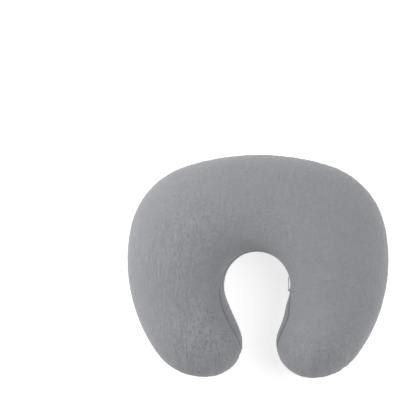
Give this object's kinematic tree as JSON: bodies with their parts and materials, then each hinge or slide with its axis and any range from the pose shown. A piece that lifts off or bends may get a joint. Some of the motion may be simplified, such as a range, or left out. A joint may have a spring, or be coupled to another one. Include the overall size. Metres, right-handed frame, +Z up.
{
  "type": "nursing pillow",
  "caption": "C-shaped nursing pillow with a zipped muslin cover over a fibre-filled inner pillow; its hollow fits round the wearer's waist.",
  "frame": {"origin": "bottom centre of the pillow's box, with the pillow lying flat on its back panel", "axes": "+X towards the right arm, +Y towards the closed arch, +Z up through the thickness; the hollow opens towards -Y"},
  "size_m": [0.5256, 0.4459, 0.164],
  "materials": {
    "muslin": "crinkled double-gauze cotton, matt",
    "gusset_muslin": "crinkled double-gauze cotton, matt",
    "seam_thread": "spun polyester thread",
    "zip_tape": "herringbone woven polyester",
    "zip_coil": "satin nylon monofilament",
    "zip_metal": "semi-gloss enamel on die-cast zinc",
    "zip_stop": "satin",
    "label_satin": "blank woven satin",
    "ticking": "plain-weave cotton, off-white",
    "case_thread": "spun polyester thread",
    "fibre": "carded hollow polyester fibre"
  },
  "bodies": {
    "pillow": {"fibre_fill": "fibre", "inner_case_front_panel": "ticking", "inner_case_back_panel": "ticking", "inner_case_seam_thread": "case_thread", "inner_case_closing_stitch": "case_thread", "inner_case_label": "label_satin", "cover_front_panel": "muslin", "cover_back_panel": "muslin", "inner_gusset_upper": "gusset_muslin", "inner_gusset_lower": "gusset_muslin", "outer_seam_thread": "seam_thread", "gusset_seam_thread_upper": "seam_thread", "gusset_seam_thread_lower": "seam_thread", "cover_care_label": "label_satin", "zip_tape_upper": "zip_tape", "zip_tape_lower": "zip_tape", "zip_coil_upper": "zip_coil", "zip_coil_lower": "zip_coil", "zip_top_stops": "zip_stop", "zip_bottom_stop": "zip_stop", "zip_topstitch_upper": "seam_thread", "zip_topstitch_lower": "seam_thread"},
    "zip_slider": {"zip_slider_body": "zip_metal"},
    "zip_pull": {"zip_pull_tab": "zip_metal"}
  },
  "joints": [
    {"name": "zip_slider_travel", "type": "hinge", "parent": "pillow", "child": "zip_slider", "pos_m": [0, -0.04, 0.082], "axis": [0, 0, 1], "range_deg": [0, 193], "deforming": ["zip_coil_upper", "zip_coil_lower"]},
    {"name": "zip_pull_swing", "type": "hinge", "parent": "zip_slider", "child": "zip_pull", "pos_m": [0.06388, -0.0485, 0.082], "axis": [0, 0, 1], "range_deg": [0, 160]}
  ]
}
